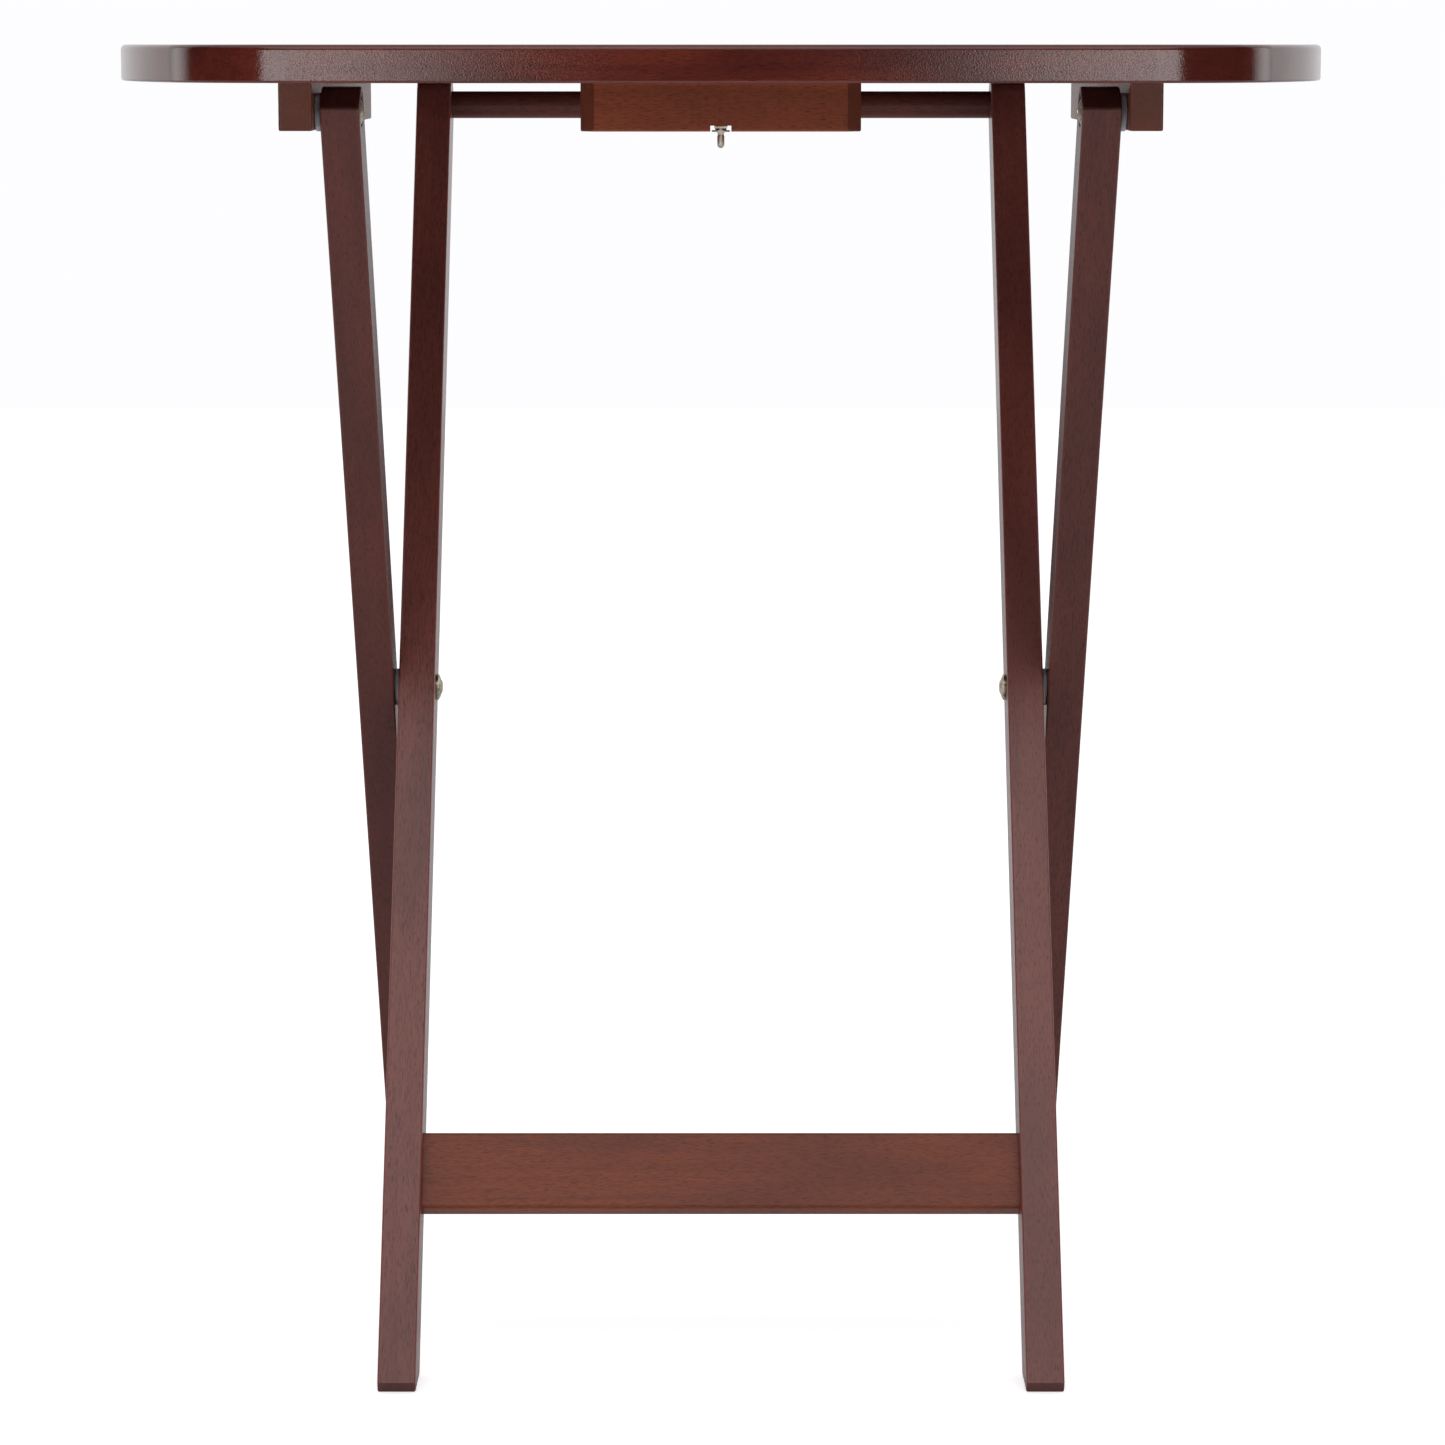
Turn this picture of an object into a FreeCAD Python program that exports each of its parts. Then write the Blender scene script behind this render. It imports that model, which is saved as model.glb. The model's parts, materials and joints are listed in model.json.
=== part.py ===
import FreeCAD, Part
import math
import os
from FreeCAD import Vector

# Folding tray table, open.  Millimetres, +Z up, the user's side is -Y.
# The origin is on the floor, under the middle of the table top.

# ---- overall sizes ----
table_height = 660.0
top_length = 617.0
top_depth = 488.0
top_thick = 18.0
top_pivot_inset = 53.2        # top pivots of the outer legs, behind the front edge
foot_reach = 201.6            # middle of each foot, from the middle of the table

# ---- table top outline and edge ----
front_bow_radius = 3500.0
side_bow_radius = 460.0
corner_radius = 70.0
top_arris = 2.6
bottom_arris = 1.2

# ---- leg stock ----
leg_thick = 19.0
outer_leg_width = 27.0
inner_leg_width = 30.0
leg_arris = 1.0
toe_height = 5.1
toe_undercut = 2.3
inner_frame_width = 340.2     # over the outside faces of the inner legs

# ---- pivots, measured down from the underside of the top ----
outer_pivot_drop = 14.1
dowel_drop = 15.5
outer_leg_end = 10.6          # outer leg past its top pivot
outer_leg_front_corner = 2.0
outer_leg_rear_corner = 10.5

# ---- battens and blocks under the top ----
batten_thick = 16.0
batten_height = 22.8
batten_length = 374.6
batten_ahead = 22.1           # batten front end, ahead of the top pivot
batten_arris = 0.9
latch_block_length = 133.0
latch_block_chamfer = 6.6
block_depth = 26.0
dowel_to_block = 2.1
catch_block_length = 100.0
catch_gap = 0.4

# ---- dowel and lower rail of the inner frame ----
dowel_diameter = 15.0
dowel_socket = 12.0
groove_width = 8.0
rail_thick = 12.0
rail_width = 40.0
rail_height = 93.25           # middle of the rail above the floor
rail_arris = 1.5
rail_pin_diameter = 6.0
rail_pin_length = 26.0
rail_pin_spacing = 20.0

# ---- pivot hardware ----
bolt_diameter = 6.0
head_diameter = 14.0
head_rim = 1.4
head_rise = 3.4
head_sink = 2.2               # top bolt heads sit this deep in the outer legs
socket_width = 4.0
socket_depth = 1.9
sleeve_diameter = 8.0
flange_thick = 2.0
sleeve_floor = 1.2
cross_spacer_diameter = 19.6
top_spacer_diameter = 18.4
cross_spacing = 2.4           # inner leg to outer leg
top_spacing = 3.0             # outer leg to batten
running_fit = 0.05
head_clearance = 0.35
axial_play = 0.1

# ---- wood screws ----
screw_length = 32.0
screw_diameter = 4.0
screw_head = 8.0
screw_head_height = 2.4
screw_point = 4.0
recess_width = 0.9
recess_arm = 2.6              # middle of the head to the end of each arm
recess_depth = 1.5
batten_screw_front = 45.0     # first batten screw, behind the top pivot
batten_screw_rear = 30.0      # last batten screw, ahead of the batten's rear end
block_screw_inset = 20.0      # block screws, in from each end of the block

# ---- slide latch ----
channel_width = 10.0
channel_depth = 2.8
slide_width = 6.2
slide_thick = 1.2
slide_ahead = 0.5             # slide front end, behind the block face
slide_past_core = 5.0
slide_travel = 12.0
slot_clearance = 0.3
slot_from_pin = 5.8
core_clearance = 0.35
guide_shoulder = 2.6
guide_head = 5.4
guide_head_height = 1.2
guide_thread = 2.0
guide_thread_length = 8.0
latch_pin_diameter = 3.4
latch_pin_stem = 2.4
latch_pin_behind = 5.0        # latch pin, behind the block face
latch_pin_reach = 7.8         # latch pin below the block
latch_washer_diameter = 8.6
latch_washer_thick = 0.8
latch_washer_up = 0.6         # washer top, above the block's bottom face

# ---- worked out from the sizes above ----
underside = table_height - top_thick
outer_pivot_y = top_pivot_inset - top_depth / 2
outer_pivot_z = underside - outer_pivot_drop
slope = (foot_reach - outer_pivot_y) / outer_pivot_z
splay_angle = math.degrees(math.atan(slope))
cross_pivot_height = foot_reach / slope
dowel_z = underside - dowel_drop
dowel_y = (dowel_z - cross_pivot_height) * slope
outer_pivot_reach = math.hypot(outer_pivot_y, outer_pivot_z - cross_pivot_height)
dowel_reach = math.hypot(dowel_y, dowel_z - cross_pivot_height)
closed_dowel_drop = outer_pivot_drop + outer_pivot_reach - dowel_reach

inner_leg_outside = inner_frame_width / 2
inner_leg_inside = inner_leg_outside - leg_thick
outer_leg_inside = inner_leg_outside + cross_spacing
outer_leg_outside = outer_leg_inside + leg_thick
batten_inside = outer_leg_outside + top_spacing
batten_outside = batten_inside + batten_thick

batten_front = outer_pivot_y - batten_ahead
batten_bottom = underside - batten_height
block_rear = outer_pivot_y - dowel_diameter / 2 - dowel_to_block
block_front = block_rear - block_depth
channel_top = batten_bottom + channel_depth
slide_top = channel_top - axial_play
core_diameter = 2 * (underside - slide_top - closed_dowel_drop - core_clearance)
latch_pin_y = block_front + latch_pin_behind

X_AXIS = Vector(1, 0, 0)
Y_AXIS = Vector(0, 1, 0)
Z_AXIS = Vector(0, 0, 1)
SIDES = {"left": -1, "right": 1}


def box(x, y, z):
    """Box from three (low, high) pairs."""
    size = [pair[1] - pair[0] for pair in (x, y, z)]
    return Part.makeBox(*size, Vector(x[0], y[0], z[0]))


def rod(diameter, start, end):
    """Round bar between two points."""
    run = end - start
    return Part.makeCylinder(diameter / 2, run.Length, start, run)


def one_solid(shape):
    """The shape with leftover seams removed, as its single solid."""
    return shape.removeSplitter().Solids[0]


def ease(shape, radius, wanted):
    """Round the edges for which wanted(edge) is true."""
    edges = [edge for edge in shape.Edges if wanted(edge)]
    return shape.makeFillet(radius, edges)


def lies_at(edge, axis, value):
    """True when the whole edge lies in the plane axis = value."""
    bounds = edge.BoundBox
    low = getattr(bounds, axis + "Min")
    high = getattr(bounds, axis + "Max")
    return abs(low - value) < 1e-4 and abs(high - value) < 1e-4


def arc(first, middle, last):
    """Circular edge through three points."""
    return Part.Arc(first, middle, last).toShape()


def mirrored(shape, side):
    """The right-hand shape, or its mirror image for the left-hand side."""
    return shape if side > 0 else shape.mirror(Vector(), X_AXIS)


# ---- table top ----

def corner_centre():
    """Centre of the corner arc, which meets both bows without a kink."""
    front_y = top_depth / 2 - front_bow_radius
    side_x = top_length / 2 - side_bow_radius
    front_reach = front_bow_radius - corner_radius
    side_reach = side_bow_radius - corner_radius
    apart = math.hypot(side_x, front_y)
    along = (apart ** 2 + side_reach ** 2 - front_reach ** 2) / (2 * apart)
    across = math.sqrt(side_reach ** 2 - along ** 2)
    ux, uy = -side_x / apart, front_y / apart
    return Vector(side_x + ux * along - uy * across, uy * along + ux * across, 0)


def top_outline():
    """Closed wire of bowed edges and round corners, drawn at height 0."""
    corner = corner_centre()
    front = Vector(0, top_depth / 2 - front_bow_radius, 0)
    side = Vector(top_length / 2 - side_bow_radius, 0, 0)
    on_front = corner + (corner - front).normalize() * corner_radius
    on_side = corner + (corner - side).normalize() * corner_radius
    between = corner + (on_front + on_side - corner * 2).normalize() * corner_radius
    far, near, right, left = (
        Vector(0, top_depth / 2, 0), Vector(0, -top_depth / 2, 0),
        Vector(top_length / 2, 0, 0), Vector(-top_length / 2, 0, 0))

    def flip(point, sx, sy):
        return Vector(point.x * sx, point.y * sy, 0)

    edges = [arc(flip(on_front, -1, 1), far, on_front)]
    edges.append(arc(on_front, between, on_side))
    edges.append(arc(on_side, right, flip(on_side, 1, -1)))
    edges.append(arc(flip(on_side, 1, -1), flip(between, 1, -1), flip(on_front, 1, -1)))
    edges.append(arc(flip(on_front, 1, -1), near, flip(on_front, -1, -1)))
    edges.append(arc(flip(on_front, -1, -1), flip(between, -1, -1), flip(on_side, -1, -1)))
    edges.append(arc(flip(on_side, -1, -1), left, flip(on_side, -1, 1)))
    edges.append(arc(flip(on_side, -1, 1), flip(between, -1, 1), flip(on_front, -1, 1)))
    return Part.Wire(edges)


def make_tabletop():
    face = Part.Face(top_outline())
    face.translate(Z_AXIS * underside)
    board = face.extrude(Z_AXIS * top_thick)
    board = ease(board, top_arris, lambda edge: lies_at(edge, "Z", table_height))
    return ease(board, bottom_arris, lambda edge: lies_at(edge, "Z", underside))


# ---- legs, drawn upright about their cross pivot and then leaned ----

def lean(shape, angle):
    """Lean an upright leg and lift it to the cross pivot."""
    shape.rotate(Vector(), X_AXIS, angle)
    shape.translate(Z_AXIS * cross_pivot_height)
    return shape


def trim_foot(leg, width, front):
    """Cut the foot flat on the floor and take the sharp toe off (front is -1 or 1)."""
    angle = math.radians(splay_angle)
    toe_y = front * (cross_pivot_height * slope + width / 2 / math.cos(angle))
    far = 2 * table_height
    leg = leg.cut(box((-far, far), (-far, far), (-far, 0)))
    cut_top = toe_y - front * toe_height * slope
    floor_y = cut_top - front * toe_undercut
    corners = [Vector(-far, floor_y, 0), Vector(-far, cut_top, toe_height),
               Vector(-far, cut_top + front * width, toe_height),
               Vector(-far, cut_top + front * width, 0)]
    wedge = Part.Face(Part.makePolygon(corners + corners[:1])).extrude(X_AXIS * 2 * far)
    return leg.cut(wedge)


def upright_leg(x, width, reach):
    """Square bar from below the floor to its top pivot."""
    below = cross_pivot_height / math.cos(math.radians(splay_angle)) + width
    return box(x, (-width / 2, width / 2), (-below, reach))


def make_outer_leg(side):
    x = (outer_leg_inside, outer_leg_outside)
    leg = upright_leg(x, outer_leg_width, outer_pivot_reach + outer_leg_end)
    end_z = outer_pivot_reach + outer_leg_end

    def end_edge(edge, y):
        return lies_at(edge, "Z", end_z) and lies_at(edge, "Y", y)

    half = outer_leg_width / 2
    leg = ease(leg, outer_leg_rear_corner, lambda edge: end_edge(edge, half))
    leg = ease(leg, outer_leg_front_corner, lambda edge: end_edge(edge, -half))
    leg = trim_foot(lean(leg, splay_angle), outer_leg_width, 1)
    leg = ease(leg, leg_arris, lambda edge: lies_at(edge, "X", x[0]) or lies_at(edge, "X", x[1]))

    fit = 2 * running_fit
    top_head = Vector(x[0], outer_pivot_y, outer_pivot_z)
    top_head_floor = top_head + X_AXIS * head_sink
    leg = leg.cut(rod(head_diameter + 2 * head_clearance, top_head, top_head_floor))
    leg = leg.cut(rod(bolt_diameter + fit, top_head, top_head + X_AXIS * leg_thick))
    cross = Vector(x[0], 0, cross_pivot_height)
    flange = Vector(x[1] - flange_thick - axial_play, 0, cross_pivot_height)
    leg = leg.cut(rod(sleeve_diameter + fit, cross, cross + X_AXIS * leg_thick))
    leg = leg.cut(rod(head_diameter + 2 * head_clearance, flange, cross + X_AXIS * leg_thick))
    return mirrored(leg, side)


def make_inner_leg(side, pins):
    x = (inner_leg_inside, inner_leg_outside)
    bar = upright_leg(x, inner_leg_width, dowel_reach)
    end = rod(inner_leg_width, Vector(x[0], 0, dowel_reach), Vector(x[1], 0, dowel_reach))
    leg = one_solid(bar.fuse(end))
    leg = trim_foot(lean(leg, -splay_angle), inner_leg_width, -1)
    leg = ease(leg, leg_arris, lambda edge: lies_at(edge, "X", x[0]) or lies_at(edge, "X", x[1]))
    cross = Vector(x[0], 0, cross_pivot_height)
    leg = leg.cut(rod(bolt_diameter, cross, cross + X_AXIS * leg_thick))
    socket = Vector(x[0], dowel_y, dowel_z)
    leg = leg.cut(rod(dowel_diameter, socket, socket + X_AXIS * dowel_socket))
    leg = mirrored(leg, side)
    return leg.cut(pins)


# ---- inner frame cross pieces ----

def make_top_dowel():
    reach = inner_leg_inside + dowel_socket
    dowel = rod(dowel_diameter, Vector(-reach, dowel_y, dowel_z), Vector(reach, dowel_y, dowel_z))
    low = Vector(-groove_width / 2, dowel_y, dowel_z)
    high = Vector(groove_width / 2, dowel_y, dowel_z)
    groove = rod(2 * dowel_diameter, low, high).cut(rod(core_diameter, low, high))
    return dowel.cut(groove)


def rail_middle():
    return Vector(0, (rail_height - cross_pivot_height) * slope, rail_height)


def make_rail_pins():
    """Two dowel pins across each joint of the rail and a leg."""
    along_leg = Vector(0, math.sin(math.radians(splay_angle)), math.cos(math.radians(splay_angle)))
    pins = []
    for side in SIDES.values():
        for offset in (-rail_pin_spacing / 2, rail_pin_spacing / 2):
            joint = rail_middle() + along_leg * offset + X_AXIS * side * inner_leg_inside
            half = X_AXIS * rail_pin_length / 2
            pins.append(rod(rail_pin_diameter, joint - half, joint + half))
    return Part.makeCompound(pins)


def make_lower_rail(pins):
    half = inner_leg_inside
    rail = box((-half, half), (-rail_thick / 2, rail_thick / 2), (-rail_width / 2, rail_width / 2))
    rail = ease(rail, rail_arris, lambda edge: edge.BoundBox.XLength > half)
    rail.rotate(Vector(), X_AXIS, -splay_angle)
    rail.translate(rail_middle())
    return rail.cut(pins)


# ---- pivot hardware, drawn for the right-hand side ----

def dome_bolt(face, length):
    """Domed bolt whose head bears on a face and whose shank points to +X."""
    rim = rod(head_diameter, face - X_AXIS * head_rim, face)
    rise = head_rise - head_rim
    dome_radius = (rise ** 2 + (head_diameter / 2) ** 2) / (2 * rise)
    centre = face - X_AXIS * (head_rise - dome_radius)
    crown = Part.makeSphere(dome_radius, centre)
    crown = crown.common(rod(head_diameter, face - X_AXIS * head_rise, face))
    crown = crown.common(box((face.x - head_rise, face.x - head_rim),
                             (face.y - head_diameter, face.y + head_diameter),
                             (face.z - head_diameter, face.z + head_diameter)))
    bolt = rim.fuse(crown).fuse(rod(bolt_diameter, face, face + X_AXIS * length))
    bolt = one_solid(bolt)
    return bolt.cut(hex_socket(face - X_AXIS * head_rise, X_AXIS))


def hex_socket(start, direction):
    """Hexagon key hole, sunk from start along direction."""
    radius = socket_width / math.sqrt(3)
    corners = []
    for step in range(7):
        turn = math.radians(60 * step)
        corners.append(start + Vector(0, radius * math.cos(turn), radius * math.sin(turn)))
    return Part.Face(Part.makePolygon(corners)).extrude(direction * socket_depth)


def sleeve_nut(inner_end, outer_face):
    """Barrel nut with a flush flange, its thread hole open towards the bolt."""
    nut = rod(sleeve_diameter, inner_end, outer_face)
    nut = nut.fuse(rod(head_diameter, outer_face - X_AXIS * flange_thick, outer_face))
    floor = outer_face - X_AXIS * (socket_depth + sleeve_floor)
    nut = nut.cut(rod(bolt_diameter, inner_end, floor))
    return one_solid(nut.cut(hex_socket(outer_face, X_AXIS * -1)))


def spacer(diameter, start, end):
    return rod(diameter, start, end).cut(rod(bolt_diameter, start, end))


def make_cross_pivot(side):
    """Bolt, sleeve nut and spacer that join an inner and an outer leg."""
    head = Vector(inner_leg_inside, 0, cross_pivot_height)
    sleeve_start = Vector(outer_leg_inside + axial_play, 0, cross_pivot_height)
    outside = Vector(outer_leg_outside, 0, cross_pivot_height)
    grip = outside.x - socket_depth - sleeve_floor - axial_play - head.x
    gap = Vector(inner_leg_outside, 0, cross_pivot_height)
    pieces = {
        "cross_bolt": dome_bolt(head, grip),
        "cross_nut": sleeve_nut(sleeve_start, outside),
        "cross_spacer": spacer(cross_spacer_diameter, gap, sleeve_start - X_AXIS * 2 * axial_play),
    }
    return {name: mirrored(shape, side) for name, shape in pieces.items()}


def make_top_pivot(side):
    """Bolt, sleeve nut and spacer that join an outer leg and a batten."""
    head = Vector(outer_leg_inside + head_sink - axial_play, outer_pivot_y, outer_pivot_z)
    sleeve_start = Vector(batten_inside + axial_play, outer_pivot_y, outer_pivot_z)
    outside = Vector(batten_outside, outer_pivot_y, outer_pivot_z)
    grip = outside.x - socket_depth - sleeve_floor - axial_play - head.x
    gap = Vector(outer_leg_outside + axial_play, outer_pivot_y, outer_pivot_z)
    pieces = {
        "top_bolt": dome_bolt(head, grip),
        "top_nut": sleeve_nut(sleeve_start, outside),
        "top_spacer": spacer(top_spacer_diameter, gap, sleeve_start - X_AXIS * 2 * axial_play),
    }
    return {name: mirrored(shape, side) for name, shape in pieces.items()}


# ---- screws ----

def wood_screw(x, y):
    """Countersunk screw driven up from the bottom face of a batten or block."""
    bottom = Vector(x, y, batten_bottom)
    head = Part.makeCone(screw_head / 2, screw_diameter / 2, screw_head_height, bottom, Z_AXIS)
    shank_top = bottom + Z_AXIS * (screw_length - screw_point)
    screw = head.fuse(rod(screw_diameter, bottom, shank_top))
    point = Part.makeCone(screw_diameter / 2, 0, screw_point, shank_top, Z_AXIS)
    return one_solid(screw.fuse(point))


def with_recess(screw):
    """The screw with the cross-shaped driver recess in its head."""
    middle = screw.BoundBox.Center
    for wide, narrow in ((recess_arm, recess_width / 2), (recess_width / 2, recess_arm)):
        screw = screw.cut(box((middle.x - wide, middle.x + wide),
                              (middle.y - narrow, middle.y + narrow),
                              (batten_bottom, batten_bottom + recess_depth)))
    return screw


def screw_row(places):
    """Whole screws to cut their holes with, and finished screws to keep."""
    holes = [wood_screw(x, y) for x, y in places]
    screws = [with_recess(screw) for screw in holes]
    return Part.makeCompound(holes), Part.makeCompound(screws)


def batten_screw_places():
    """Three along each batten, clear of the pivot and of the ends."""
    middle_x = (batten_inside + batten_outside) / 2
    first = outer_pivot_y + batten_screw_front
    last = batten_front + batten_length - batten_screw_rear
    places = []
    for side in SIDES.values():
        for share in (0.0, 0.5, 1.0):
            places.append((side * middle_x, first + (last - first) * share))
    return places


def block_screw_places(length, y):
    return [(side * (length / 2 - block_screw_inset), y) for side in SIDES.values()]


# ---- battens and blocks ----

def make_batten(side, holes):
    rail = box((batten_inside, batten_outside), (batten_front, batten_front + batten_length),
               (batten_bottom, underside))
    rail = ease(rail, batten_arris, lambda edge: not lies_at(edge, "Z", underside))
    fit = 2 * running_fit
    pivot = Vector(batten_inside, outer_pivot_y, outer_pivot_z)
    outside = pivot + X_AXIS * batten_thick
    rail = rail.cut(rod(sleeve_diameter + fit, pivot, outside))
    flange = outside - X_AXIS * (flange_thick + axial_play)
    rail = rail.cut(rod(head_diameter + 2 * head_clearance, flange, outside))
    return mirrored(rail, side).cut(holes)


def make_latch_block(holes, guide):
    half = latch_block_length / 2
    block = box((-half, half), (block_front, block_rear), (batten_bottom, underside))
    corners = [edge for edge in block.Edges
               if edge.BoundBox.ZLength > batten_height / 2 and lies_at(edge, "Y", block_front)]
    block = block.makeChamfer(latch_block_chamfer, corners)
    block = ease(block, batten_arris, lambda edge: lies_at(edge, "Z", batten_bottom))
    channel = box((-channel_width / 2, channel_width / 2), (block_front, block_rear),
                  (batten_bottom, channel_top))
    return block.cut(channel).cut(holes).cut(guide)


def make_catch_block(holes):
    """Rear block with a quarter-round seat that stops the dowel moving back."""
    half = catch_block_length / 2
    block = box((-half, half), (dowel_y, dowel_y + block_depth), (batten_bottom, underside))
    seat_radius = dowel_diameter / 2 + catch_gap
    seat = rod(2 * seat_radius, Vector(-half, dowel_y, dowel_z), Vector(half, dowel_y, dowel_z))
    below = box((-half, half), (dowel_y - seat_radius, dowel_y + seat_radius),
                (batten_bottom, dowel_z))
    block = one_solid(block.cut(seat).cut(below))
    block = ease(block, batten_arris,
                 lambda edge: lies_at(edge, "Z", batten_bottom) and edge.BoundBox.YMin > dowel_y)
    return block.cut(holes)


# ---- slide latch in the front block ----

def guide_place():
    """The guide screw stands at the front end of the slot while the latch is shut."""
    slot_front = latch_pin_y + slot_from_pin
    return slot_front + slot_clearance + guide_shoulder / 2


def make_guide_screw():
    y = guide_place()
    slide_bottom = slide_top - slide_thick
    head_top = Vector(0, y, slide_bottom - axial_play)
    shoulder_top = Vector(0, y, channel_top)
    screw = rod(guide_head, head_top - Z_AXIS * guide_head_height, head_top)
    screw = screw.fuse(rod(guide_shoulder, head_top, shoulder_top))
    screw = screw.fuse(rod(guide_thread, head_top, shoulder_top + Z_AXIS * guide_thread_length))
    return one_solid(screw)


def make_latch_slide():
    half = slide_width / 2
    front = block_front + slide_ahead
    nose = outer_pivot_y + slide_past_core
    z = (slide_top - slide_thick, slide_top)
    plate = box((-half, half), (front, nose - half), z)
    plate = plate.fuse(rod(slide_width, Vector(0, nose - half, z[0]), Vector(0, nose - half, z[1])))
    slot_half = guide_shoulder / 2 + slot_clearance
    slot_front = guide_place()
    slot_rear = slot_front + slide_travel
    slot = box((-slot_half, slot_half), (slot_front, slot_rear), z)
    for y in (slot_front, slot_rear):
        slot = slot.fuse(rod(2 * slot_half, Vector(0, y, z[0]), Vector(0, y, z[1])))
    hole = rod(latch_pin_stem, Vector(0, latch_pin_y, z[0]), Vector(0, latch_pin_y, z[1]))
    return one_solid(plate.cut(slot).cut(hole))


def make_latch_pin():
    top = Vector(0, latch_pin_y, slide_top)
    shoulder = top - Z_AXIS * slide_thick
    tip = Vector(0, latch_pin_y, batten_bottom - latch_pin_reach + latch_pin_diameter / 2)
    pin = rod(latch_pin_stem, shoulder, top)
    pin = pin.fuse(rod(latch_pin_diameter, tip, shoulder))
    return one_solid(pin.fuse(Part.makeSphere(latch_pin_diameter / 2, tip)))


def make_latch_washer():
    top = Vector(0, latch_pin_y, batten_bottom + latch_washer_up)
    bottom = top - Z_AXIS * latch_washer_thick
    ring = rod(latch_washer_diameter, bottom, top)
    return ring.cut(rod(latch_pin_diameter, bottom, top))


# ---- the whole table ----

def build():
    parts = {"tabletop": make_tabletop()}
    pins = make_rail_pins()
    parts["rail_dowel_pins"] = pins
    parts["lower_rail"] = make_lower_rail(pins)
    parts["top_dowel"] = make_top_dowel()

    batten_holes, parts["batten_screws"] = screw_row(batten_screw_places())
    block_middle = (block_front + block_rear) / 2
    latch_holes, parts["latch_block_screws"] = screw_row(
        block_screw_places(latch_block_length, block_middle))
    catch_screw_y = dowel_y + (block_depth + dowel_diameter / 2) / 2
    catch_holes, parts["catch_block_screws"] = screw_row(
        block_screw_places(catch_block_length, catch_screw_y))
    for holes in (batten_holes, latch_holes, catch_holes):
        parts["tabletop"] = parts["tabletop"].cut(holes)

    for name, side in SIDES.items():
        parts["outer_leg_" + name] = make_outer_leg(side)
        parts["inner_leg_" + name] = make_inner_leg(side, pins)
        parts["batten_" + name] = make_batten(side, batten_holes)
        for piece, shape in make_cross_pivot(side).items():
            parts[piece + "_" + name] = shape
        for piece, shape in make_top_pivot(side).items():
            parts[piece + "_" + name] = shape

    parts["latch_guide_screw"] = make_guide_screw()
    parts["latch_block"] = make_latch_block(latch_holes, parts["latch_guide_screw"])
    parts["catch_block"] = make_catch_block(catch_holes)
    parts["latch_slide"] = make_latch_slide()
    parts["latch_pin"] = make_latch_pin()
    parts["latch_washer"] = make_latch_washer()
    return parts


os.makedirs("parts", exist_ok=True)
for name, shape in build().items():
    solids = len(shape.Solids)
    print(f"{name}: {solids} solid(s), volume {shape.Volume:.0f} mm3, valid {shape.isValid()}")
    shape.exportStep(os.path.join("parts", name + ".step"))
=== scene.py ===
# %% [markdown]
# # Folding tray table
# This lesson dresses a finished frame: a folding table made of stained hardwood with metal pivots.
# The frame already holds every wooden piece at its true size, so the work here is finish and hardware.
# The first cell loads the frame and counts its pieces.

# %% Load the frame
import json
import math

import bpy
from mathutils import Matrix, Vector


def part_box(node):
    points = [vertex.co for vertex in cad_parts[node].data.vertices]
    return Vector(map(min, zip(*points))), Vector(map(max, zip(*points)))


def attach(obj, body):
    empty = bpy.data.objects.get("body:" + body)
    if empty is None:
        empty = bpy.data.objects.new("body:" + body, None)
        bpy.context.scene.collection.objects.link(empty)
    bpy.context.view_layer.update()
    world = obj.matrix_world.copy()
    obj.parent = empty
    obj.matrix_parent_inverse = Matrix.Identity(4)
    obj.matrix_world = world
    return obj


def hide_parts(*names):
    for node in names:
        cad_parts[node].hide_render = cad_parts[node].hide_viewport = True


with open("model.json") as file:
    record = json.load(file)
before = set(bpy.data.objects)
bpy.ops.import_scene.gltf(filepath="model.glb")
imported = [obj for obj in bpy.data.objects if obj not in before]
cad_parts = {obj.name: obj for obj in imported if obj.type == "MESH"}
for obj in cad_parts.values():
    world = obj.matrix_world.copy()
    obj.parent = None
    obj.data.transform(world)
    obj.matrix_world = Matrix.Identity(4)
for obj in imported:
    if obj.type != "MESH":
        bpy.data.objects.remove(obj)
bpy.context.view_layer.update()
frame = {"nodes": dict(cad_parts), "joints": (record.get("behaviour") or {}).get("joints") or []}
nodes = frame["nodes"]
print("pieces in the frame:", len(nodes))

# %% [markdown]
# ## Where things are
# Every place below is read from the frame. The leg frames lean, so the grain of each leg has to lean too:
# the lean is worked out from where the legs cross and from where the outer legs meet the table top.

# %% Read the pivots and the lean
joints = {joint["name"]: joint for joint in frame["joints"]}
cross_pivot = Vector(joints["leg_fold"]["pos_m"])
top_pivot = Vector(joints["top_follow"]["pos_m"])
lean = math.atan2(-top_pivot.y, top_pivot.z - cross_pivot.z)
print("legs lean by", round(math.degrees(lean), 2), "degrees")


def middle(name):
    """Middle of a node's box."""
    low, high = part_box(name)
    return (low + high) / 2


# %% [markdown]
# ## Small helpers for materials
# A material in Blender is a graph of nodes. Adding each node by hand takes many lines, so a few helpers
# keep the recipes short: they add a node, join two sockets, do arithmetic on sockets, mix two colours,
# and make the noise and bump that every finish below is built from.

# %% Node helpers


def add(tree, kind, **settings):
    """A new node with some of its properties set."""
    node = tree.nodes.new(kind)
    for key, value in settings.items():
        setattr(node, key, value)
    return node


def feed(tree, value, socket):
    """Link a socket, or store a plain number or colour on it."""
    if isinstance(value, bpy.types.NodeSocket):
        tree.links.new(value, socket)
    else:
        socket.default_value = value


def sums(tree, operation, first, second=0.0, third=0.0):
    """One Math node."""
    node = add(tree, "ShaderNodeMath", operation=operation)
    for value, socket in zip((first, second, third), node.inputs):
        feed(tree, value, socket)
    return node.outputs[0]


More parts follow.
